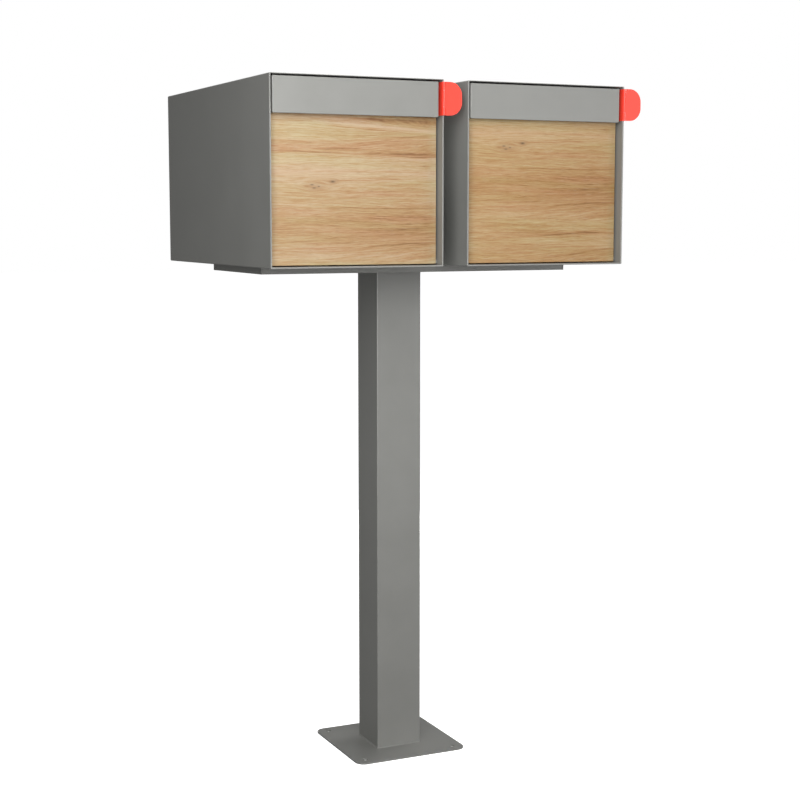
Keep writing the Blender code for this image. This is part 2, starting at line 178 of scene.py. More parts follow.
def ring(points, axis, place):
    """A plane outline set across an axis: the outline's two numbers are the other axes in turn."""
    result = []
    for first, second in points:
        point = [first, second]
        point.insert(axis, place)
        result.append(Vector(point))
    return result


def loft(rings, closed=False, caps=True):
    """Skins a row of rings that have the same number of points."""
    bm = bmesh.new()
    rows = [[bm.verts.new(point) for point in points] for points in rings]
    pairs = list(zip(rows, rows[1:]))
    if closed:
        pairs.append((rows[-1], rows[0]))
    for first, second in pairs:
        count = len(first)
        for i in range(count):
            j = (i + 1) % count
            bm.faces.new((first[i], first[j], second[j], second[i]))
    if caps and not closed:
        bm.faces.new(rows[0])
        bm.faces.new(rows[-1])
    bmesh.ops.recalc_face_normals(bm, faces=bm.faces)
    return bm


SHARPEST = 0.4  # keeps very sharp corners from running away


def grown(points, distance):
    """The outline moved outwards by a distance, each corner along its own bisector."""
    count = len(points)
    area = sum(
        points[i][0] * points[(i + 1) % count][1] - points[(i + 1) % count][0] * points[i][1]
        for i in range(count)
    )
    way = math.copysign(1.0, area)
    result = []
    for i, point in enumerate(points):
        before = Vector(point) - Vector(points[i - 1])
        after = Vector(points[(i + 1) % count]) - Vector(point)
        runs = [run for run in (before, after) if run.length > 1e-9]
        normals = [Vector((run.y, -run.x)).normalized() * way for run in runs]
        normal = sum(normals, Vector((0.0, 0.0)))
        if normal.length < 1e-6:
            result.append(tuple(point))
            continue
        normal.normalize()
        reach = distance / max(SHARPEST, normal.dot(normals[0]))
        result.append((point[0] + normal.x * reach, point[1] + normal.y * reach))
    return result


def prism(points, axis, low, high, edge=0.0, steps=2):
    """A plate or bar of one outline, its two end edges rounded by a small radius."""
    rings = []
    if edge:
        for step in range(steps + 1):
            angle = math.pi / 2 * step / steps
            inset = edge * (1 - math.sin(angle))
            rings.append(ring(grown(points, -inset), axis, low + edge * (1 - math.cos(angle))))
        for step in range(steps, -1, -1):
            angle = math.pi / 2 * step / steps
            inset = edge * (1 - math.sin(angle))
            rings.append(ring(grown(points, -inset), axis, high - edge * (1 - math.cos(angle))))
    else:
        rings = [ring(points, axis, low), ring(points, axis, high)]
    return loft(rings)


def tool(name, bm):
    return new_piece(name, bm, None)


def cube(low, high):
    low, high = Vector(low), Vector(high)
    bm = bmesh.new()
    bmesh.ops.create_cube(
        bm, size=1.0,
        matrix=Matrix.Translation((low + high) / 2) @ Matrix.Diagonal((*(high - low), 1.0)),
    )
    return bm


def circle(centre, radius, steps=32):
    points = []
    for i in range(steps):
        angle = 2 * math.pi * i / steps
        points.append((centre[0] + radius * math.cos(angle), centre[1] + radius * math.sin(angle)))
    return points


TIP = 0.00002  # the smallest radius of a turned solid's end


def turned(profile, centre, axis, steps=32):
    """A solid turned about an axis through centre. The profile lists (radius, place along the axis)."""
    others = [centre[i] for i in range(3) if i != axis]
    rings = [
        ring(circle(others, max(radius, TIP), steps), axis, centre[axis] + along)
        for radius, along in profile
    ]
    return loft(rings)


def rounded_steps(radius, steps):
    """(drawn in, run along) pairs round a quarter bend, from the face to the side."""
    pairs = []
    for step in range(steps + 1):
        angle = math.pi / 2 * step / steps
        pairs.append((radius * (1 - math.sin(angle)), radius * (1 - math.cos(angle))))
    return pairs


LEAST_CORNER = 0.00005


def inset_ring(low, high, insets, corner, axis, place, steps=3):
    """A rectangle of the box low..high across an axis, drawn in by (low, high) on each other axis."""
    flat = [i for i in range(3) if i != axis]
    (first_low, first_high), (second_low, second_high) = insets
    outline = rounded_rectangle(
        (low[flat[0]] + first_low, low[flat[1]] + second_low),
        (high[flat[0]] - first_high, high[flat[1]] - second_high),
        max(corner, LEAST_CORNER), steps,
    )
    return ring(outline, axis, place)


def folded_pan(low, high, axis, face, sheet, bend, corner):
    """A sheet folded up on all four sides, its flat face at the low or the high end of the axis."""
    start, end = (low[axis], high[axis]) if face == "low" else (high[axis], low[axis])
    way = math.copysign(1.0, end - start)
    depth = abs(end - start)

    def at(inset, along):
        insets = ((inset, inset), (inset, inset))
        return inset_ring(low, high, insets, corner - inset, axis, start + way * along)

    rings = [at(inset, along) for inset, along in rounded_steps(bend, 4)]
    rings += [at(0, depth - NICK), at(NICK, depth), at(sheet - NICK, depth), at(sheet, depth - NICK)]
    rings += [at(sheet + inset, sheet + along) for inset, along in reversed(rounded_steps(bend - sheet, 4))]
    return loft(rings)


def hole_tool(name, place, radius, low, high, axis=2, chamfer=0.0004):
    """A round cutter along an axis whose ends flare where it breaks the surface."""
    profile = [
        (radius + 3 * chamfer, low - 2 * chamfer),
        (radius, low + chamfer),
        (radius, high - chamfer),
        (radius + 3 * chamfer, high + 2 * chamfer),
    ]
    centre = list(place)
    centre.insert(axis, 0.0)
    return tool(name, turned(profile, centre, axis, 32))


# Materials

class Tree:
    """Short ways to write a material's nodes. Numbers and sockets are both fine as inputs."""

    def __init__(self, material):
        self.nodes = material.node_tree.nodes
        self.links = material.node_tree.links
        self.shader = self.nodes["Principled BSDF"]

    def put(self, value, socket):
        if isinstance(value, bpy.types.NodeSocket):
            self.links.new(value, socket)
        elif hasattr(value, "__len__") and len(value) == 3 and socket.type == "RGBA":
            socket.default_value = (*value, 1.0)
        else:
            socket.default_value = value

    def add(self, kind, inputs=(), **settings):
        node = self.nodes.new(kind)
        for key, value in settings.items():
            setattr(node, key, value)
        for key, value in dict(inputs).items():
            self.put(value, node.inputs[key])
        return node

    def math(self, operation, *values):
        node = self.add("ShaderNodeMath", operation=operation)
        for socket, value in zip(node.inputs, values):
            self.put(value, socket)
        return node.outputs[0]

    def place(self):
        return self.add("ShaderNodeTexCoord").outputs["Object"]

    def vector(self, x, y, z):
        return self.add("ShaderNodeCombineXYZ", {"X": x, "Y": y, "Z": z}).outputs[0]

    def noise(self, vector, scale=1.0, detail=2.0, roughness=0.5):
        node = self.add(
            "ShaderNodeTexNoise",
            {"Vector": vector, "Scale": scale, "Detail": detail, "Roughness": roughness},
        )
        return node.outputs["Factor" if "Factor" in node.outputs else "Fac"]

    def span(self, value, low, high, to_low=0.0, to_high=1.0, smooth=False):
        node = self.add("ShaderNodeMapRange", interpolation_type="SMOOTHSTEP" if smooth else "LINEAR")
        settings = {"Value": value, "From Min": low, "From Max": high, "To Min": to_low, "To Max": to_high}
        for key, number in settings.items():
            self.put(number, node.inputs[key])
        return node.outputs["Result"]

    def ramp(self, value, stops, interpolation="LINEAR"):
        """A colour ramp. Each stop is (position, grey) or (position, (r, g, b))."""
        node = self.add("ShaderNodeValToRGB", {"Fac": value})
        ramp = node.color_ramp
        ramp.interpolation = interpolation
        while len(ramp.elements) < len(stops):
            ramp.elements.new(0.5)
        for element, (position, colour) in zip(ramp.elements, stops):
            element.position = position
            rgb = colour if hasattr(colour, "__len__") else (colour,) * 3
            element.color = (*rgb, 1.0)
        return node.outputs["Color"]

    def curve(self, value, points):
        """A smooth line through (place, height) points, both from 0 to 1."""
        node = self.add("ShaderNodeFloatCurve", {"Value": value})
        node.mapping.extend = "HORIZONTAL"
        line = node.mapping.curves[0]
        while len(line.points) < len(points):
            line.points.new(0.5, 0.5)
        for point, (place, height) in zip(line.points, points):
            point.location = (place, height)
            point.handle_type = "AUTO_CLAMPED"
        node.mapping.update()
        return node.outputs[0]

    def mix(self, factor, first, second, blend="MIX"):
        node = self.add("ShaderNodeMix", data_type="RGBA", blend_type=blend)
        self.put(factor, node.inputs["Factor"])
        self.put(first, node.inputs[6])
        self.put(second, node.inputs[7])
        return node.outputs[2]

    def bump(self, height, distance, strength, normal=None):
        inputs = {"Height": height, "Distance": distance, "Strength": strength}
        if normal:
            inputs["Normal"] = normal
        return self.add("ShaderNodeBump", inputs).outputs["Normal"]

    def surface(self, **inputs):
        for key, value in inputs.items():
            self.put(value, self.shader.inputs[key.replace("_", " ")])


def new_material(name):
    material = bpy.data.materials.new(name)
    material.use_nodes = True
    return material, Tree(material)


def powder_coat(name, colour, light, dark, roughness, ior=1.5):
    """Sprayed and baked paint: a faint orange peel, fine speckle, and a slow drift in shade and gloss."""
    material, tree = new_material(name)
    place = tree.place()
    drift = tree.noise(place, 9.0, 3.0, 0.55)
    speckle = tree.noise(place, 1500.0, 2.0, 0.6)
    peel = tree.noise(place, 420.0, 2.0, 0.5)
    grit = tree.noise(place, 2600.0, 1.0, 0.5)
    base = tree.mix(tree.span(drift, 0.3, 0.7), dark, light)
    base = tree.mix(tree.span(speckle, 0.35, 0.75), base, colour)
    mottle = tree.math("ADD", drift, tree.math("MULTIPLY", speckle, 0.5))
    finish = tree.span(mottle, 0.4, 1.1, roughness - 0.05, roughness + 0.07)
    normal = tree.bump(peel, 0.00004, 0.6)
    normal = tree.bump(grit, 0.00001, 0.5, normal)
    tree.surface(Base_Color=base, Roughness=finish, Normal=normal, IOR=ior)
    return material


def zinc_steel(name):
    """Bright zinc-plated steel with fine turning marks and dull patches."""
    material, tree = new_material(name)
    place = tree.place()
    cloud = tree.noise(place, 240.0, 3.0, 0.6)
    stretched = tree.add("ShaderNodeMapping", {"Vector": place, "Scale": (300.0, 300.0, 4200.0)})
    marks = tree.noise(stretched.outputs[0], 1.0, 2.0, 0.6)
    base = tree.ramp(cloud, [(0.3, (0.40, 0.40, 0.39)), (0.7, (0.62, 0.62, 0.60))])
    rough = tree.span(tree.math("ADD", cloud, marks), 0.6, 1.4, 0.26, 0.46)
    tree.surface(Base_Color=base, Roughness=rough, Metallic=1.0, Normal=tree.bump(marks, 0.00002, 0.5))
    return material


def moulded_plastic(name):
    """Black glass-filled plastic with a fine spark-eroded grain."""
    material, tree = new_material(name)
    place = tree.place()
    grain = tree.noise(place, 2400.0, 2.0, 0.6)
    cloud = tree.noise(place, 160.0, 2.0, 0.5)
    base = tree.ramp(cloud, [(0.3, (0.018, 0.018, 0.019)), (0.7, (0.034, 0.034, 0.035))])
    finish = tree.span(grain, 0.3, 0.7, 0.48, 0.66)
    tree.surface(Base_Color=base, Roughness=finish, Normal=tree.bump(grain, 0.00002, 0.6))
    return material


EULER = 2.718


def hump(tree, offset, reach):
    """A smooth hump: 1 where the offset is 0, gone at about twice the reach."""
    ratio = tree.math("DIVIDE", offset, reach)
    square = tree.math("MULTIPLY", ratio, ratio)
    return tree.math("POWER", EULER, tree.math("MULTIPLY", square, -1.0))


def spot(tree, u, v, centre_u, centre_v, reach_u, reach_v):
    """A smooth oval hump of height 1 at a place on the board."""
    across = hump(tree, tree.math("SUBTRACT", u, centre_u), reach_u)
    return tree.math("MULTIPLY", across, hump(tree, tree.math("SUBTRACT", v, centre_v), reach_v))


BOARD = 0.36  # the strokes below run over this width
OAK_TOP = 0.07  # and between these depths below the pattern's origin
OAK_BOTTOM = 0.45
OAK_DEPTH = OAK_BOTTOM - OAK_TOP
PAINTED_LIGHT_END = (0.326, 0.346, 0.27)  # painted light: the tone falls over this run, by this much, so the board's right end is paler where the box's wall shades it

# Bands where the grain is drawn into flames: depth, reach, where they start, and their slope
OAK_FLAMES = (
    (0.094, 0.016, 0.08, -0.075), (0.120, 0.020, 0.16, 0.085), (0.330, 0.022, 0.12, 0.075),
    (0.402, 0.016, 0.14, -0.060), (0.428, 0.022, 0.14, 0.080),
)

# Streak noise from broad to fine: along and across the grain, seed, and how much it swings the tone
OAK_STREAKS = (
    (4.0, 90.0, 1.0, 0.14), (10.0, 230.0, 5.0, 0.18), (26.0, 480.0, 9.0, 0.24), (60.0, 1100.0, 13.0, 0.16),
)

# Colours along the tone, from pale straw to deep tan
OAK_COLOURS = (
    (0.0, (0.395, 0.310, 0.190)),
    (0.25, (0.360, 0.255, 0.138)),
    (0.50, (0.322, 0.198, 0.088)),
    (0.75, (0.280, 0.148, 0.056)),
    (1.0, (0.180, 0.080, 0.026)),
)
STRAW_CAST = (0.99, 1.03, 0.96)
PINK_CAST = (1.04, 0.96, 1.00)
PORE_COLOUR = (0.13, 0.070, 0.032)
RAY_COLOUR = (0.40, 0.32, 0.215)
HALO_COLOUR = (0.20, 0.095, 0.040)
HEART_COLOUR = (0.055, 0.028, 0.014)

# The tone of each row, from pale straw at 0 to deep tan at 1, at the board's left and right edges
OAK_ROWS = (
    (0.074, 0.37, 0.61), (0.084, 0.27, 0.53), (0.092, 0.23, 0.35), (0.102, 0.23, 0.37), (0.116, 0.33, 0.47),
    (0.130, 0.41, 0.53), (0.142, 0.43, 0.55), (0.154, 0.23, 0.31), (0.172, 0.15, 0.25), (0.190, 0.17, 0.29),
    (0.204, 0.25, 0.37), (0.226, 0.35, 0.39), (0.246, 0.35, 0.47), (0.258, 0.50, 0.66), (0.276, 0.51, 0.69),
    (0.300, 0.53, 0.69), (0.316, 0.45, 0.63), (0.332, 0.35, 0.47), (0.348, 0.31, 0.41), (0.364, 0.33, 0.39),
    (0.380, 0.39, 0.53), (0.396, 0.31, 0.37), (0.412, 0.33, 0.37), (0.430, 0.49, 0.55), (0.444, 0.43, 0.47),
)

# Streaks: reach across the grain, then (along, down, strength) points. Metres; a negative strength is paler.
OAK_STROKES = (
    (0.0036, ((0.10, 0.076, 0.0), (0.18, 0.079, 0.16), (0.27, 0.083, 0.24), (0.36, 0.086, 0.22))),
    (0.0011, ((0.12, 0.075, 0.0), (0.20, 0.0785, 0.26), (0.26, 0.080, 0.25), (0.34, 0.082, 0.10))),
    (0.0030, ((0.07, 0.086, 0.0), (0.14, 0.089, -0.22), (0.24, 0.094, -0.26), (0.36, 0.104, -0.22))),
    (0.0008, ((0.10, 0.093, 0.0), (0.18, 0.098, 0.26), (0.26, 0.103, 0.30), (0.32, 0.108, 0.0))),
    (0.0012, ((0.16, 0.128, 0.0), (0.22, 0.122, 0.16), (0.29, 0.113, 0.26), (0.36, 0.107, 0.22))),
    (0.0010, ((0.20, 0.131, 0.0), (0.26, 0.127, 0.16), (0.31, 0.120, 0.22), (0.36, 0.116, 0.12))),
    (0.0026, ((0.09, 0.139, 0.0), (0.14, 0.137, 0.26), (0.17, 0.138, 0.16), (0.20, 0.139, 0.0))),
    (0.0014, ((0.00, 0.143, 0.22), (0.06, 0.144, 0.34), (0.13, 0.1455, 0.42), (0.17, 0.146, 0.10))),
    (0.0046, ((0.16, 0.146, 0.0), (0.22, 0.145, 0.24), (0.28, 0.145, 0.42), (0.36, 0.146, 0.42))),
    (0.0010, ((0.17, 0.148, 0.0), (0.26, 0.1505, 0.26), (0.32, 0.1515, 0.46), (0.36, 0.151, 0.40))),
    (0.0020, ((0.05, 0.204, 0.0), (0.08, 0.202, 0.14), (0.10, 0.203, 0.14), (0.12, 0.206, 0.0))),
    (0.0012, ((0.13, 0.199, 0.0), (0.15, 0.197, 0.22), (0.19, 0.197, 0.10), (0.23, 0.201, 0.0))),
    (0.0013, ((0.10, 0.251, 0.0), (0.17, 0.251, 0.20), (0.27, 0.252, 0.24), (0.36, 0.250, 0.24))),
    (0.0022, ((0.15, 0.336, 0.0), (0.20, 0.327, 0.20), (0.26, 0.3215, 0.36), (0.36, 0.319, 0.34))),
    (0.0012, ((0.00, 0.332, 0.26), (0.04, 0.333, 0.30), (0.07, 0.335, 0.10), (0.12, 0.333, 0.0))),
    (0.0020, (
        (0.10, 0.388, 0.0), (0.15, 0.387, 0.36), (0.22, 0.3845, 0.62), (0.28, 0.381, 0.46),
        (0.35, 0.382, 0.30),
    )),
    (0.0030, ((0.06, 0.394, 0.0), (0.14, 0.396, -0.18), (0.24, 0.400, -0.24), (0.36, 0.411, -0.20))),
    (0.0026, ((0.16, 0.432, 0.0), (0.22, 0.428, 0.20), (0.28, 0.421, 0.26), (0.36, 0.413, 0.24))),
)

# Knots: place along and down, how far along and down the grain bends round them, and how strongly
OAK_KNOTS = (
    (0.088, 0.209, 0.030, 0.011, 0.85),
    (0.127, 0.200, 0.022, 0.008, 0.8),
    (0.152, 0.214, 0.022, 0.009, 0.85),
)

# Dark hearts of the knots: place along and down, and reach along and down
OAK_HEARTS = (
    (0.0835, 0.2065, 0.0034, 0.0011), (0.0880, 0.2125, 0.0034, 0.0011), (0.0975, 0.2095, 0.0022, 0.0009),
    (0.1265, 0.2002, 0.0050, 0.0021),
)


def oak(name, left, top, stain):
    """Oiled oak with its grain along X. Left and top place the pattern's own origin on the board."""
    material, tree = new_material(name)
    split = tree.add("ShaderNodeSeparateXYZ", {"Vector": tree.place()})
    u = tree.math("SUBTRACT", split.outputs["X"], left)
    v = tree.math("SUBTRACT", top, split.outputs["Z"])
    deep = split.outputs["Y"]
    run = tree.math("DIVIDE", u, BOARD)

    def wander(along, across, reach, seed):
        place = tree.vector(tree.math("MULTIPLY", u, along), tree.math("MULTIPLY", v, across),
                            tree.math("ADD", deep, seed))
        return tree.math("MULTIPLY", tree.math("SUBTRACT", tree.noise(place, 1.0, 2.0), 0.5), reach)

    # The grain's own rows: the board's rows bent by slow waves, pushed round the knots, and drawn into
    # flames that fall or rise towards the right
    near = tree.math("ADD", v, wander(14.0, 40.0, 0.0028, 3.0))
    row = tree.math("ADD", near, wander(5.0, 10.0, 0.007, 7.0))
    for centre_u, centre_v, reach_u, reach_v, push in OAK_KNOTS:
        bend = tree.math("MULTIPLY", spot(tree, u, v, centre_u, centre_v, reach_u, reach_v), push)
        row = tree.math("ADD", row, tree.math("MULTIPLY", tree.math("SUBTRACT", centre_v, v), bend))
    for centre_v, reach, start, slope in OAK_FLAMES:
        past = tree.math("MAXIMUM", tree.math("SUBTRACT", u, start), 0.0)
        drawn = tree.math("MULTIPLY", past, slope)
        band = hump(tree, tree.math("SUBTRACT", v, centre_v), reach)
        row = tree.math("ADD", row, tree.math("MULTIPLY", drawn, band))

    def streaks(along, across, detail, seed):
        layer = tree.math("ADD", tree.math("MULTIPLY", deep, 40.0), seed)
        place = tree.vector(tree.math("MULTIPLY", u, along), tree.math("MULTIPLY", row, across), layer)
        return tree.noise(place, 1.0, detail, 0.55)

    level = tree.span(near, OAK_TOP, OAK_BOTTOM)
    sides = []
    for side in (1, 2):
        stops = [((line[0] - OAK_TOP) / OAK_DEPTH, line[side]) for line in OAK_ROWS]
        sides.append(tree.ramp(level, stops, "B_SPLINE"))
    tone = tree.mix(tree.span(u, 0.05, 0.30, smooth=True), *sides)
    for reach, points in OAK_STROKES:
        path = tree.curve(run, [(along / BOARD, (down - OAK_TOP) / OAK_DEPTH) for along, down, _ in points])
        force = tree.curve(run, [(along / BOARD, 0.5 + strength / 2) for along, _, strength in points])
        offset = tree.math("SUBTRACT", level, path)
        shape = hump(tree, offset, reach / OAK_DEPTH)
        dose = tree.math("MULTIPLY", tree.math("SUBTRACT", force, 0.5), 2.0)
        tone = tree.math("ADD", tone, tree.math("MULTIPLY", shape, dose))
    for along, across, seed, swing in OAK_STREAKS:
        change = tree.span(streaks(along, across, 2.0, seed), 0.25, 0.75, -swing, swing)
        tone = tree.math("ADD", tone, change)
    # Painted light: the board's right end is made paler, offsetting the shade that the box's side wall casts
    # on it
    tone = tree.math("SUBTRACT", tone, tree.span(u, PAINTED_LIGHT_END[0], PAINTED_LIGHT_END[1], 0.0, PAINTED_LIGHT_END[2]))
    colour = tree.mix(1.0, tree.ramp(tone, OAK_COLOURS), stain, "MULTIPLY")
    # Pink and straw casts drift over the board
    cast = tree.span(streaks(3.0, 40.0, 2.0, 21.0), 0.35, 0.65)
    straw = tree.mix(1.0, colour, STRAW_CAST, "MULTIPLY")
    pink = tree.mix(1.0, colour, PINK_CAST, "MULTIPLY")
    colour = tree.mix(cast, straw, pink)
    # Open pores and pale rays
    pores = tree.span(streaks(70.0, 1700.0, 1.0, 31.0), 0.60, 0.72, smooth=True)
    rays = tree.span(streaks(34.0, 700.0, 1.0, 41.0), 0.62, 0.74, smooth=True)
    colour = tree.mix(tree.math("MULTIPLY", pores, 0.35), colour, PORE_COLOUR)
    colour = tree.mix(tree.math("MULTIPLY", rays, 0.30), colour, RAY_COLOUR)
    # Knots: dark hearts in a reddish halo
    for centre_u, centre_v, heart_u, heart_v in OAK_HEARTS:
        halo = spot(tree, u, near, centre_u, centre_v, 0.016, 0.006)
        colour = tree.mix(tree.math("MULTIPLY", halo, 0.20), colour, HALO_COLOUR)
        heart = spot(tree, u, v, centre_u, centre_v, heart_u, heart_v)
        colour = tree.mix(tree.math("MULTIPLY", heart, 0.80), colour, HEART_COLOUR)
    finish = tree.math("ADD", tree.span(tone, 0.0, 1.0, 0.46, 0.58), tree.math("MULTIPLY", pores, 0.16))
    relief = tree.math("SUBTRACT", tree.math("MULTIPLY", streaks(26.0, 480.0, 2.0, 9.0), 0.4), pores)
    tree.surface(Base_Color=colour, Roughness=finish, Normal=tree.bump(relief, 0.00006, 0.6), IOR=1.45)
    return material


GREY = powder_coat(
    "powder_coat_grey", (0.205, 0.205, 0.192), (0.216, 0.216, 0.203), (0.190, 0.190, 0.178), 0.42
)
RED = powder_coat(
    "powder_coat_red", (0.89, 0.052, 0.030), (0.92, 0.059, 0.035), (0.85, 0.045, 0.026), 0.36, 1.4
)
ZINC = zinc_steel("zinc_plated_steel")
PLASTIC = moulded_plastic("black_plastic")


# The post and what it carries

def plate_piece(name, node, corner, holes, edge=0.0006):
    """A flat plate with rounded corners, eased edges and chamfered holes, each (x, y, radius)."""
    low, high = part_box(node)
    outline = rounded_rectangle((low.x, low.y), (high.x, high.y), corner, 10)
    plate = new_piece(name, prism(outline, 2, low.z, high.z, edge), GREY, "stand", (node,))
    tools = [
        hole_tool(f"{name}_hole_{number}", (x, y), radius, low.z, high.z)
        for number, (x, y, radius) in enumerate(holes)
    ]
    return carve(plate, *tools)


WELD_LEG = 0.0018
WELD_STEP = 0.0011  # between the bead's cross-sections
WELD_IN = -0.0005  # runs the bead's back into the tube
WELD_SECTION = ((WELD_IN, 0.0), (1.0, 0.0), (0.72, 0.45), (0.45, 0.72), (0.0, 1.0), (WELD_IN, 1.0))


def weld_bead(name, low, high, plane, way):
    """A small fillet weld round a square tube where it meets a plate, rippled as a torch leaves it."""
    outline = rounded_rectangle((low.x, low.y), (high.x, high.y), POST_CORNER, 6)
    path = []
    for first, second in zip(outline, outline[1:] + outline[:1]):
        first, second = Vector(first), Vector(second)
        count = max(1, round((second - first).length / WELD_STEP))
        path += [first.lerp(second, step / count) for step in range(count)]
    bm = bmesh.new()
    rows = []
    for number, point in enumerate(path):
        run = path[(number + 1) % len(path)] - path[number - 1]
        out = Vector((run.y, -run.x)).normalized()
        ripple = 0.10 * math.sin(number * 1.35) + 0.07 * math.sin(number * 0.37 + 1.0)
        size = WELD_LEG * (1.0 + ripple)
        row = []
        for reach, rise in WELD_SECTION:
            place = point + out * (reach if reach < 0 else reach * size)
            row.append(bm.verts.new((place.x, place.y, plane + way * rise * size)))
        rows.append(row)
    for first, second in zip(rows, rows[1:] + rows[:1]):
        for i in range(len(first)):
            j = (i + 1) % len(first)
            bm.faces.new((first[i], first[j], second[j], second[i]))
    new_piece(name, bm, GREY, "stand", ())


def make_post():
    low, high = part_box("post")

    def at(inset, z):
        return inset_ring(low, high, ((inset, inset), (inset, inset)), POST_CORNER - inset, 2, z, steps=7)

    rings = [
        at(NICK, low.z), at(0, low.z + NICK), at(0, high.z - NICK), at(NICK, high.z),
        at(POST_WALL - NICK, high.z), at(POST_WALL, high.z - NICK), at(POST_WALL, low.z + NICK),
        at(POST_WALL - NICK, low.z),
    ]
    new_piece("square_post", loft(rings, closed=True), GREY, "stand", ("post",))
    weld_bead("foot_weld", low, high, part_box("base_plate")[1].z, 1.0)
    weld_bead("head_weld", low, high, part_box("post_top_plate")[0].z, -1.0)


def bolt_spots(side):
    """Centre and number of each of a box's bolts."""
    spots = []
    for number in range(1, 5):
        low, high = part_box(f"{side}_box_bolt_{number}")
        spots.append(((low.x + high.x) / 2, (low.y + high.y) / 2, number))
    return spots


ALL_BOLTS = bolt_spots("left") + bolt_spots("right")


TRAY_BEND = 0.0030
TRAY_CORNER = 0.0008
SLIT_IN = 0.0022  # from the tray's side to each slit
SLIT_WIDE = 0.0005
SLIT_DEEP = 0.0012
SLIT_PAST = 0.002
SLIT_STOP = 0.0035  # below the tray's top


def make_tray():
    low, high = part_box("mounting_tray")
    tray = new_piece(
        "folded_tray", folded_pan(low, high, 2, "high", TRAY_SHEET, TRAY_BEND, TRAY_CORNER),
        GREY, "stand", ("mounting_tray",),
    )
    tools = [
        hole_tool(f"tray_hole_{i}", (x, y), BOLT_HOLE, high.z - TRAY_SHEET, high.z, chamfer=SMALL_CHAMFER)
        for i, (x, y, _) in enumerate(ALL_BOLTS)
    ]
    # Slits where the folded flanges meet at the four corners
    for i, (x, way_x) in enumerate(((low.x, 1), (high.x, -1))):
        for j, (y, way_y) in enumerate(((low.y, 1), (high.y, -1))):
            across = sorted((x + way_x * SLIT_IN, x + way_x * (SLIT_IN + SLIT_WIDE)))
            along = sorted((y - way_y * SLIT_PAST, y + way_y * SLIT_DEEP))
            tools.append(tool(f"tray_slit_{i}{j}", cube(
                (across[0], along[0], low.z - SLIT_PAST), (across[1], along[1], high.z - SLIT_STOP),
            )))
    carve(tray, *tools)


SHELL_BEND = 0.0024
SHELL_LEAST_BEND = 0.0005
NOSE = 0.0007  # rounding of the hem's front edge
SEAM_WIDE = 0.0006
SEAM_DEEP = 0.0007
SEAM_FRONT = 0.012  # the seam's ends, from the hem and from the back
SEAM_BACK = 0.020


def make_shell(side):
    """Floor, sides and roof in one folded sheet, hemmed double at the mouth on the sides and floor."""
    low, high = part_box(f"{side}_box_shell")

    def at(sides, roof, y):
        radius = max(SHELL_BEND - sides, SHELL_LEAST_BEND)
        return inset_ring(low, high, ((sides, sides), (sides, roof)), radius, 1, y, steps=5)

    mouth = low.y
    back = high.y
    hem = low.y + HEM_DEPTH
    rings = [
        at(NOSE * 0.6, 0.0003, mouth), at(NOSE * 0.2, 0.0001, mouth + NOSE * 0.3), at(0, 0, mouth + NOSE),
        at(0, 0, back - NICK), at(NICK, NICK, back),
        at(SHEET - NICK, SHEET - NICK, back), at(SHEET, SHEET, back - NICK),
        at(SHEET, SHEET, hem + 0.0002), at(SHEET + 0.0002, SHEET, hem + 0.00005),
        at(HEM_THICK - 0.0006, SHEET, hem), at(HEM_THICK - 0.0002, SHEET, hem - 0.0002),
        at(HEM_THICK, SHEET, hem - NOSE), at(HEM_THICK, SHEET, mouth + NOSE),
        at(HEM_THICK - NOSE * 0.2, SHEET - NOSE * 0.1, mouth + NOSE * 0.3),
        at(HEM_THICK - NOSE * 0.6, SHEET - NOSE * 0.4, mouth),
    ]
    shell = new_piece(
        f"{side}_folded_shell", loft(rings, closed=True), GREY, "stand", (f"{side}_box_shell",)
    )
    tools = [
        hole_tool(f"{side}_floor_hole_{i}", (x, y), BOLT_HOLE, low.z, low.z + SHEET, chamfer=SMALL_CHAMFER)
        for x, y, i in bolt_spots(side)
    ]
    # The sheet's two ends meet in a seam along the underside
    seam_x = (low.x + high.x) / 2
    tools.append(tool(f"{side}_floor_seam", cube(
        (seam_x - SEAM_WIDE / 2, hem + SEAM_FRONT, low.z - PAST),
        (seam_x + SEAM_WIDE / 2, back - SEAM_BACK, low.z + SEAM_DEEP),
    )))
    carve(shell, *tools)


PANEL_BEND = 0.0026
PANEL_CORNER = 0.0010


def make_back_panel(side):
    low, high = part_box(f"{side}_back_panel")
    new_piece(
        f"{side}_rear_pan", folded_pan(low, high, 1, "high", SHEET, PANEL_BEND, PANEL_CORNER),
        GREY, "stand", (f"{side}_back_panel",),
    )


BOLT_HEAD = 0.0033
BOLT_SHAFT = 0.003  # radius
BOLT_PITCH = 0.0010
SOCKET_RADIUS = 0.0023
SOCKET_DEEP = 0.0018
NUT_EASE = 0.0005  # height of the nut's chamfers
NUT_CHAMFER = 0.93  # radius of its ends, as a share of the corners'
NUT_SIDES = 24


def threaded(radius, root, start, pitch, length):
    """(radius, place) pairs of a thread's crests and roots."""
    pairs = []
    along = start
    while along < length - pitch:
        pairs += [(radius, along), (radius * root, along + pitch / 2)]
        along += pitch
    return pairs


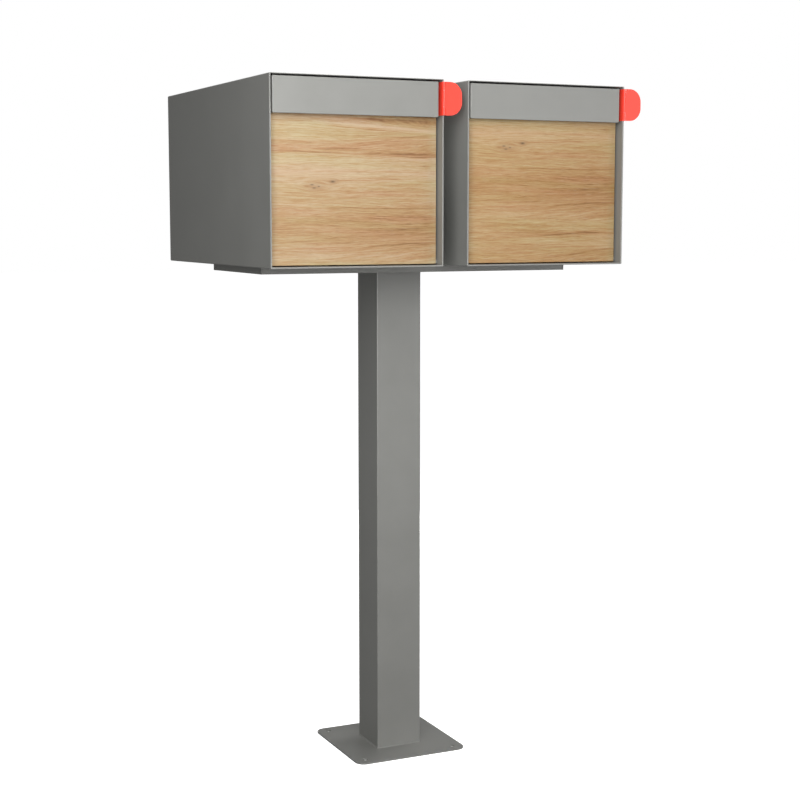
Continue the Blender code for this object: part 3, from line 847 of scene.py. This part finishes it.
def make_bolt(side, x, y, number):
    """A button-head bolt with a hex socket, and a chamfered nut."""
    low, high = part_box(f"{side}_box_bolt_{number}")
    nut_low, nut_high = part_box(f"{side}_box_nut_{number}")
    radius = (high.x - low.x) / 2
    length = high.z - BOLT_HEAD - low.z
    profile = [(0.0, 0.0), (BOLT_SHAFT * 0.78, 0.0)]
    profile += threaded(BOLT_SHAFT, 0.88, BOLT_PITCH / 2, BOLT_PITCH, length)
    profile += [(BOLT_SHAFT, length - SMALL_CHAMFER), (BOLT_SHAFT, length)]
    for share, rise in (
        (1.0, 0.0), (1.0, 0.22), (0.95, 0.50), (0.80, 0.78), (0.62, 0.93), (0.55, 1.0), (0.0, 1.0),
    ):
        profile.append((radius * share, length + BOLT_HEAD * rise))
    bolt = new_piece(
        f"{side}_button_bolt_{number}", turned(profile, (x, y, low.z), 2, 28),
        ZINC, "stand", (f"{side}_box_bolt_{number}",),
    )
    hexagon = circle((x, y), SOCKET_RADIUS, 6)
    carve(bolt, tool("socket", prism(hexagon, 2, high.z - SOCKET_DEEP, high.z + PAST)))
    rings = []
    corner = max(nut_high.x - nut_low.x, nut_high.y - nut_low.y) / 2
    flat = corner * math.cos(math.pi / 6)
    for chamfer, z in (
        (NUT_CHAMFER, nut_low.z), (1.0, nut_low.z + NUT_EASE),
        (1.0, nut_high.z - NUT_EASE), (NUT_CHAMFER, nut_high.z),
    ):
        points = []
        for i in range(NUT_SIDES):
            angle = 2 * math.pi * i / NUT_SIDES
            off = (angle + math.pi / 6) % (math.pi / 3) - math.pi / 6
            reach = min(flat / math.cos(off), corner * chamfer)
            points.append((x + reach * math.cos(angle), y + reach * math.sin(angle)))
        rings.append(ring(points, 2, z))
    bore = circle((x, y), BOLT_SHAFT + GAP, NUT_SIDES)
    rings += [ring(bore, 2, z) for z in (nut_high.z, nut_low.z)]
    new_piece(
        f"{side}_hex_nut_{number}", loft(rings, closed=True), ZINC, "stand",
        (f"{side}_box_nut_{number}",),
    )


def make_hinge_pin(side, letter, way):
    """A turned stub with a shoulder against the wall it points away from."""
    low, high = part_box(f"{side}_hinge_pin_{letter}")
    radius = (high.y - low.y) / 2
    length = high.x - low.x
    profile = [
        (0.0, 0.0), (radius, 0.0), (radius * 1.55, 0.0), (radius * 1.55, 0.0006), (radius * 1.45, 0.0008),
        (radius, 0.0009), (radius, length - 0.0006), (radius * 0.72, length), (0.0, length),
    ]
    foot = (low.x if way > 0 else high.x, (low.y + high.y) / 2, (low.z + high.z) / 2)
    new_piece(
        f"{side}_pivot_stub_{letter}", turned([(r, way * along) for r, along in profile], foot, 0, 28),
        ZINC, "stand", (f"{side}_hinge_pin_{letter}",),
    )


POLE_OFF = 0.0030  # each pole strip's middle from the catch's middle
POLE_IN = 0.0030  # and its ends from the case's ends
POLE_DEEP = 0.0034
POLE_HALF = 0.0006
SLOT_IN = 0.0028
SLOT_DEEP = 0.0030
SLOT_HALF = 0.0008
RIB_OFF = 0.0092  # each groove under the case from its middle
RIB_HALF = 0.0006
RIB_FRONT = 0.004
RIB_BACK = 0.002
CASE_BEHIND = 0.0004  # the case's front behind the pole strips' front
CASE_CORNER = 0.0012
CASE_EASE = 0.0006


def make_magnet(side, letter):
    """A magnetic catch: plastic case with two steel pole strips in its front."""
    low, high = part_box(f"{side}_catch_magnet_{letter}")
    outline = rounded_rectangle((low.x, low.z), (high.x, high.z), CASE_CORNER, 4)
    case = new_piece(
        f"{side}_catch_case_{letter}", prism(outline, 1, low.y + CASE_BEHIND, high.y, CASE_EASE),
        PLASTIC, "stand", (f"{side}_catch_magnet_{letter}",),
    )
    x = (low.x + high.x) / 2
    z = (low.z + high.z) / 2
    slots = []
    ribs = []
    for k, way in enumerate((-1, 1)):
        pole = z + way * POLE_OFF
        groove = x + way * RIB_OFF
        slots.append(tool(f"slot_{k}", cube(
            (low.x + SLOT_IN, low.y - PAST, pole - SLOT_HALF),
            (high.x - SLOT_IN, low.y + SLOT_DEEP, pole + SLOT_HALF),
        )))
        ribs.append(tool(f"rib_{k}", cube(
            (groove - RIB_HALF, low.y + RIB_FRONT, low.z - PAST),
            (groove + RIB_HALF, high.y - RIB_BACK, low.z + RIB_HALF),
        )))
    carve(case, *slots, *ribs)
    for k, way in enumerate((-1, 1)):
        pole = z + way * POLE_OFF
        outline = rounded_rectangle(
            (low.x + POLE_IN, pole - POLE_HALF), (high.x - POLE_IN, pole + POLE_HALF), POLE_HALF / 2, 3
        )
        new_piece(
            f"{side}_pole_strip_{letter}{k}", prism(outline, 1, low.y, low.y + POLE_DEEP, SMALL_CHAMFER),
            ZINC, "stand", (),
        )


# The doors

def screw_spot(side, letter):
    low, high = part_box(f"{side}_handle_screw_{letter}")
    return (low.x + high.x) / 2, (low.z + high.z) / 2


def screw_holes(side, kind, radius, front, back):
    """Cutters for the handle screws' holes through one of the door's layers."""
    return [
        hole_tool(f"{kind}_hole_{letter}", screw_spot(side, letter), radius, front, back, 1, SMALL_CHAMFER)
        for letter in LETTERS
    ]


def ear_tool(inner, outer, front, hinge):
    """A lug from the pan's side round the door's hinge pin."""
    straight = front + EAR_STRAIGHT
    outline = [(straight, hinge.z - EAR_RADIUS * 0.8), (straight, hinge.z + EAR_RADIUS)]
    for degrees in range(90, 236, 9):
        angle = math.radians(degrees)
        outline.append((hinge.y + EAR_RADIUS * math.cos(angle), hinge.z + EAR_RADIUS * math.sin(angle)))
    return tool("lug", prism(outline, 0, min(inner, outer), max(inner, outer), SMALL_CHAMFER))


def make_door_pan(side):
    low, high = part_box(f"{side}_door_pan")
    hinge = Vector(JOINTS[f"{side}_door_hinge"]["pos_m"])
    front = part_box(f"{side}_wood_panel")[1].y + GAP
    pan = new_piece(
        f"{side}_pressed_pan",
        folded_pan(Vector((low.x, front, low.z)), high, 1, "low", SHEET, PAN_BEND, PAN_CORNER),
        GREY, f"{side}_door", (f"{side}_door_pan",),
    )
    lip = rounded_rectangle(
        (high.y - SHEET, high.z - PAN_LIP), (high.y, high.z - 0.0002), (NICK, NICK, 0.0012, NICK), 3
    )
    carve(pan, tool("strike", prism(lip, 0, low.x + SHEET / 2, high.x - SHEET / 2)), operation="UNION")
    for inner, outer in ((low.x + EAR_THICK, low.x), (high.x - EAR_THICK, high.x)):
        carve(pan, ear_tool(inner, outer, front, hinge), operation="UNION")
    bores = [
        tool(f"bore_{i}", turned(
            [(PIN_BORE, -0.002), (PIN_BORE, 0.004)], (x - PAST, hinge.y, hinge.z), 0, 24
        ))
        for i, x in enumerate((low.x, high.x - EAR_THICK))
    ]
    carve(pan, *bores, *screw_holes(side, "pan", SCREW_HOLE, front, front + SHEET))


def make_board(side):
    low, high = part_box(f"{side}_wood_panel")
    hinge = Vector(JOINTS[f"{side}_door_hinge"]["pos_m"])
    outline = rounded_rectangle((low.x, low.z - BOARD_BELOW), (high.x, high.z), 0.0010, 4)
    board = new_piece(
        f"{side}_oak_board", prism(outline, 1, low.y, high.y, 0.0007, 3),
        OAK[side], f"{side}_door", (f"{side}_wood_panel",),
    )
    bores = [
        tool(f"bore_{i}", turned([(BOARD_BORE, -0.006), (BOARD_BORE, 0.006)], (x, hinge.y, hinge.z), 0, 24))
        for i, x in enumerate((low.x, high.x))
    ]
    carve(board, *bores, *screw_holes(side, "board", SCREW_HOLE, low.y, high.y))


STRIP_RADII = (0.0032, 0.0032, 0.0014, 0.0014)  # the grey strip's corners, from low left anticlockwise
STRIP_INNER_RADII = (0.0018, 0.0018, 0.0006, 0.0006)
STRIP_LIP = 0.0016  # what the ends keep beside the opening below
STRIP_EASE = 0.0010
STRIP_INNER_EASE = 0.0004
STRIP_BELOW = 0.004  # how far the cutters run past the strip
STRIP_OPEN = 0.006  # how far up the opening below is cut
REAR_IN = 0.002  # how far the cut under the rear flange reaches into the hollow
FLANGE = 0.030  # height of the strip's rear flange


def make_handle(side):
    """A folded strip: flush face, turned-back top and ends, and a rear flange that the screws hold."""
    low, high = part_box(f"{side}_door_handle")
    high.z += HANDLE_ABOVE
    outline = rounded_rectangle((low.x, low.z), (high.x, high.z), STRIP_RADII, 5)
    handle = new_piece(
        f"{side}_handle_strip", prism(outline, 1, low.y, high.y, STRIP_EASE, 3),
        GREY, f"{side}_door", (f"{side}_door_handle",),
    )
    left = low.x + SHEET
    right = high.x - SHEET
    front = low.y + SHEET
    rear = high.y - SHEET
    inner = rounded_rectangle((left, low.z + SHEET), (right, high.z - SHEET), STRIP_INNER_RADII, 5)
    carve(
        handle,
        tool("hollow", prism(inner, 1, front, rear, STRIP_INNER_EASE)),
        tool("below", cube(
            (left + STRIP_LIP, front, low.z - STRIP_BELOW), (right - STRIP_LIP, rear, low.z + STRIP_OPEN)
        )),
        tool("rear", cube(
            (left, rear - REAR_IN, low.z - STRIP_BELOW), (right, high.y + STRIP_BELOW, high.z - FLANGE)
        )),
    )
    carve(handle, *screw_holes(side, "strip", STRIP_HOLE, rear, high.y))


SCREW_HEAD = 0.0025
SCREW_HEAD_RADIUS = 0.0038
SCREW_SHAFT = 0.0020  # radius
SCREW_PITCH = 0.0009
RECESS_LONG = 0.0021
RECESS_WIDE = 0.00035
RECESS_DEEP = 0.0014


def make_screw(side, letter):
    """A pan-head screw with a cross recess, its head inside the door."""
    low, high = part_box(f"{side}_handle_screw_{letter}")
    x, z = screw_spot(side, letter)
    length = high.y - low.y - SCREW_HEAD
    profile = [(0.0, 0.0), (SCREW_SHAFT * 0.6, 0.0002), (SCREW_SHAFT * 0.9, 0.0010)]
    profile += threaded(SCREW_SHAFT, 0.85, 0.0014, SCREW_PITCH, length)
    profile.append((SCREW_SHAFT, length))
    for share, rise in ((1.0, 0.0), (1.0, 0.35), (0.93, 0.66), (0.74, 0.90), (0.45, 1.0), (0.0, 1.0)):
        profile.append((SCREW_HEAD_RADIUS * share, length + SCREW_HEAD * rise))
    screw = new_piece(
        f"{side}_pan_screw_{letter}", turned(profile, (x, low.y, z), 1, 28),
        ZINC, f"{side}_door", (f"{side}_handle_screw_{letter}",),
    )
    arms = []
    for number, (wide, tall) in enumerate(((RECESS_LONG, RECESS_WIDE), (RECESS_WIDE, RECESS_LONG))):
        outline = [(x - wide, z - tall), (x + wide, z - tall), (x + wide, z + tall), (x - wide, z + tall)]
        arms.append(tool(f"arm_{number}", prism(outline, 1, high.y - RECESS_DEEP, high.y + PAST)))
    carve(screw, *arms)


# The flags

CURL_TURN = 308  # degrees of the sheet's roll round the pin
CURL_STEPS = 24
FLAG_EDGE = 0.00025
CURL_EDGE = 0.00015
NEAR_CORNER = 0.0007  # corners of each leaf beside the barrel
LEAF_CORNER = 0.004


def curl(centre, start, turn):
    """Cross-section of a sheet rolled round a pin, from a start angle through a turn in degrees."""
    angles = [math.radians(start + turn * i / CURL_STEPS) for i in range(CURL_STEPS + 1)]
    points = []
    for radius, way in ((BARREL_OUTER, 1), (BARREL_INNER, -1)):
        points += [
            (centre[0] + radius * math.cos(angle), centre[1] + radius * math.sin(angle))
            for angle in angles[::way]
        ]
    return points


def neck_tool(name, low, high, bottom, top):
    """The short block that joins a curl to its sheet, a hair inside the faces of both."""
    outline = [(low[0], low[1]), (high[0], low[1]), (high[0], high[1]), (low[0], high[1])]
    return tool(name, prism(outline, 2, bottom + NECK_STEP, top - NECK_STEP))


def make_flag(side):
    """A fixed leaf and a turning blade, each rolled round one pin at the mouth's edge."""
    leaf_low, leaf_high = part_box(f"{side}_flag_leaf")
    blade_low, blade_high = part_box(f"{side}_flag_blade")
    pin_low, pin_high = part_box(f"{side}_flag_pin")
    axis = Vector(JOINTS[f"{side}_flag_hinge"]["pos_m"])
    centre = (axis.x, axis.y)
    low_curl = (leaf_low.z, leaf_low.z + KNUCKLE_END)
    high_curl = (leaf_high.z - KNUCKLE_END, leaf_high.z)

    # The leaf's sheet runs back along the wall's inner face, and its curls go round the pin's front
    leaf_inner = leaf_low.x + FLAG_SHEET
    outline = rounded_rectangle(
        (axis.y + BARREL_CLEAR, leaf_low.z), (leaf_high.y, leaf_high.z),
        (NEAR_CORNER, LEAF_CORNER, LEAF_CORNER, NEAR_CORNER), 5,
    )
    leaf = new_piece(
        f"{side}_hinge_leaf", prism(outline, 0, leaf_low.x, leaf_inner, FLAG_EDGE),
        RED, "stand", (f"{side}_flag_leaf",),
    )
    roll = curl(centre, 180, CURL_TURN)
    joined = []
    for number, (low, high) in enumerate((low_curl, high_curl)):
        joined.append(tool(f"leaf_curl_{number}", prism(roll, 2, low, high, CURL_EDGE, 1)))
        joined.append(neck_tool(
            f"leaf_neck_{number}",
            (leaf_low.x + SET_IN, axis.y), (leaf_inner - SET_IN, axis.y + NECK), low, high,
        ))
    carve(leaf, *joined, operation="UNION")

    # The blade's sheet stands out beside the box, and its curl goes round the pin between the leaf's
    blade_back = blade_low.y + FLAG_SHEET
    outline = rounded_rectangle(
        (axis.x + BARREL_CLEAR, blade_low.z), (blade_high.x, blade_high.z),
        (NEAR_CORNER, FLAG_ROUND, FLAG_ROUND, NEAR_CORNER), 18,
    )
    blade = new_piece(
        f"{side}_signal_blade", prism(outline, 1, blade_low.y, blade_back, FLAG_EDGE),
        RED, f"{side}_flag", (f"{side}_flag_blade",),
    )
    low = low_curl[1] + KNUCKLE_GAP
    high = high_curl[0] - KNUCKLE_GAP
    blade_curl = tool("blade_curl", prism(curl(centre, 270, -CURL_TURN), 2, low, high, CURL_EDGE, 1))
    neck = neck_tool(
        "blade_neck", (axis.x, blade_low.y + SET_IN), (axis.x + NECK, blade_back - SET_IN), low, high
    )
    carve(blade, blade_curl, neck, operation="UNION")

    radius = (pin_high.x - pin_low.x) / 2
    length = pin_high.z - pin_low.z
    profile = [
        (radius * 0.5, 0.0), (radius * 0.85, 0.0001), (radius, 0.0004), (radius, length - 0.0004),
        (radius * 0.85, length - 0.0001), (radius * 0.5, length),
    ]
    new_piece(
        f"{side}_hinge_rod", turned(profile, (axis.x, axis.y, pin_low.z), 2, 24),
        ZINC, "stand", (f"{side}_flag_pin",),
    )


# Build

# How far above the box's top each board's grain pattern begins, and its stain
BOARD_CUTS = {"left": (0.0, (0.99, 1.0, 1.0)), "right": (0.081, (1.0, 0.94, 0.79))}
PATTERN_IN = 0.010  # from the box's side
OAK = {}
for side, (above, stain) in BOARD_CUTS.items():
    shell_low, shell_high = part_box(f"{side}_box_shell")
    OAK[side] = oak(f"oak_{side}", shell_low.x + PATTERN_IN, shell_high.z + above, stain)

plate_piece(
    "foot_plate", "base_plate", PLATE_CORNER,
    [(x * ANCHOR, y * ANCHOR, ANCHOR_HOLE) for x in (-1, 1) for y in (-1, 1)],
)
plate_piece(
    "head_plate", "post_top_plate", TOP_PLATE_CORNER,
    [(x, y, BOLT_HOLE) for x, y, number in ALL_BOLTS if number in INNER_BOLTS],
)
make_post()
make_tray()
for side in SIDES:
    make_shell(side)
    make_back_panel(side)
    for x, y, number in bolt_spots(side):
        make_bolt(side, x, y, number)
    make_hinge_pin(side, "a", 1)
    make_hinge_pin(side, "b", -1)
    for letter in LETTERS:
        make_magnet(side, letter)
        make_screw(side, letter)
    make_door_pan(side)
    make_board(side)
    make_handle(side)
    make_flag(side)
settle_normals(PIECES)


# Floor, light and camera

def make_stage():
    bm = bmesh.new()
    bmesh.ops.create_grid(bm, x_segments=1, y_segments=1, size=30.0)
    mesh = bpy.data.meshes.new("floor")
    bm.to_mesh(mesh)
    bm.free()
    floor = bpy.data.objects.new("floor", mesh)
    bpy.context.scene.collection.objects.link(floor)
    material, tree = new_material("pale_floor")
    grain = tree.noise(tree.place(), 3.0, 2.0)
    tree.surface(
        Base_Color=tree.ramp(grain, [(0.3, 0.80), (0.7, 0.82)]), Roughness=0.9,
        Emission_Color=(1.0, 1.0, 1.0), Emission_Strength=0.9,
    )
    mesh.materials.append(material)
    floor.visible_diffuse = False
    floor.visible_glossy = False


AMBIENT = 0.20  # what lights the object
BACKDROP = 1.0  # what shows behind it


def make_world():
    """An even white room: dim where it lights the object, bright where it is the background."""
    world = bpy.data.worlds.new("studio")
    bpy.context.scene.world = world
    world.use_nodes = True
    nodes = world.node_tree.nodes
    links = world.node_tree.links
    nodes.clear()
    output = nodes.new("ShaderNodeOutputWorld")
    switch = nodes.new("ShaderNodeMixShader")
    path = nodes.new("ShaderNodeLightPath")
    links.new(path.outputs["Is Camera Ray"], switch.inputs[0])
    for number, strength in ((1, AMBIENT), (2, BACKDROP)):
        background = nodes.new("ShaderNodeBackground")
        background.inputs["Color"].default_value = (1.0, 1.0, 1.0, 1.0)
        background.inputs["Strength"].default_value = strength
        links.new(background.outputs[0], switch.inputs[number])
    links.new(switch.outputs[0], output.inputs["Surface"])


AIM = Vector((0.0, -0.1, 1.0))

# Name, azimuth from the front, elevation, distance, size and power of each soft light
LIGHTS = (
    ("key_near", -30, 25, 1.6, 0.9, 13.4),
    ("front_low", -10, 5, 3.0, 1.5, 26.3),
    ("left_low", -35, 5, 3.0, 1.5, 27.0),
    ("left_high", -35, 35, 3.0, 1.5, 9.0),
    ("right_low", 40, 5, 3.0, 1.5, 24.4),
    ("right_side", 110, 5, 3.0, 1.5, 48.8),
    ("back", 155, -8, 3.0, 0.75, 24.0),
    ("top", 0, 90, 1.3, 0.6, 12.0),
    ("rim", -29, 4, 3.0, 1.3, 70.0),
)


def softbox(name, azimuth, elevation, distance, size, power):
    """A square light that looks at the boxes. The back one gives no glints, and the rim one only glints."""
    turn = math.radians(azimuth)
    rise = math.radians(elevation)
    way = Vector((math.sin(turn) * math.cos(rise), -math.cos(turn) * math.cos(rise), math.sin(rise)))
    data = bpy.data.lights.new(name, "AREA")
    data.shape = "RECTANGLE"
    data.size = size
    data.size_y = size
    data.energy = power
    light = bpy.data.objects.new(name, data)
    bpy.context.scene.collection.objects.link(light)
    place = AIM + way * distance
    light.location = place
    light.rotation_euler = (AIM - place).to_track_quat("-Z", "Y").to_euler()
    light.visible_glossy = name != "back"
    light.visible_diffuse = name != "rim"


make_stage()
make_world()
for settings in LIGHTS:
    softbox(*settings)

camera_data = bpy.data.cameras.new("camera")
camera_data.lens = 70.629
camera_data.sensor_width = 36.0
camera = bpy.data.objects.new("camera", camera_data)
bpy.context.scene.collection.objects.link(camera)
camera.location = (-1.42416, -3.11227, 1.16857)
camera.rotation_euler = (math.radians(83.3618), 0.0, math.radians(-24.9923))
bpy.context.scene.camera = camera
bpy.context.scene.view_settings.view_transform = "Standard"
